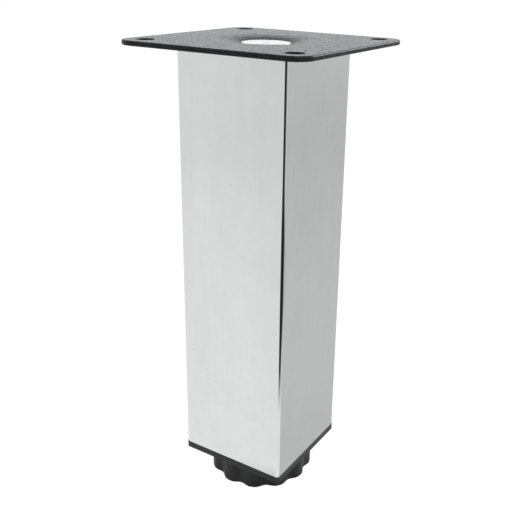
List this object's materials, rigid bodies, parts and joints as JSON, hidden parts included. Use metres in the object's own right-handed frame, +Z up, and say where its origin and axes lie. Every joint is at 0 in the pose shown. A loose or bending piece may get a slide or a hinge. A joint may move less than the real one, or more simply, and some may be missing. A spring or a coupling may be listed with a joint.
{
  "type": "square furniture leg",
  "caption": "Square chrome tube leg with a dished black mounting plate fixed by a central screw, and a scalloped levelling foot on a threaded stud.",
  "frame": {"origin": "on the floor under the middle of the foot, with the foot screwed all the way in", "axes": "+Z up along the tube; X and Y along the sides of the square tube and plate"},
  "size_m": [0.083, 0.083, 0.1961],
  "materials": {
    "chrome_plate": "bright chrome plating on steel tube",
    "black_coating": "fine-grained black powder coat",
    "zinc_steel": "bright zinc plating",
    "black_plastic": "satin moulded plastic"
  },
  "bodies": {
    "leg": {"mounting_plate": "black_coating", "plate_screw": "zinc_steel", "top_plug": "black_plastic", "plug_nut": "zinc_steel", "tube": "chrome_plate", "end_cap": "black_plastic", "cap_nut": "zinc_steel"},
    "stud": {"foot_stud": "zinc_steel"},
    "foot": {"foot_knob": "black_plastic"}
  },
  "joints": [
    {"name": "foot_travel", "type": "slide", "parent": "leg", "child": "stud", "axis": [0, 0, -1], "range_m": [0, 0.015]},
    {"name": "foot_turn", "type": "hinge", "parent": "stud", "child": "foot", "pos_m": [0, 0, 0], "axis": [0, 0, -1], "range_deg": [0, 3600]}
  ],
  "couplings": [
    {"joint": "foot_turn", "follows": "foot_travel", "rad_per_m": 4188.8}
  ]
}
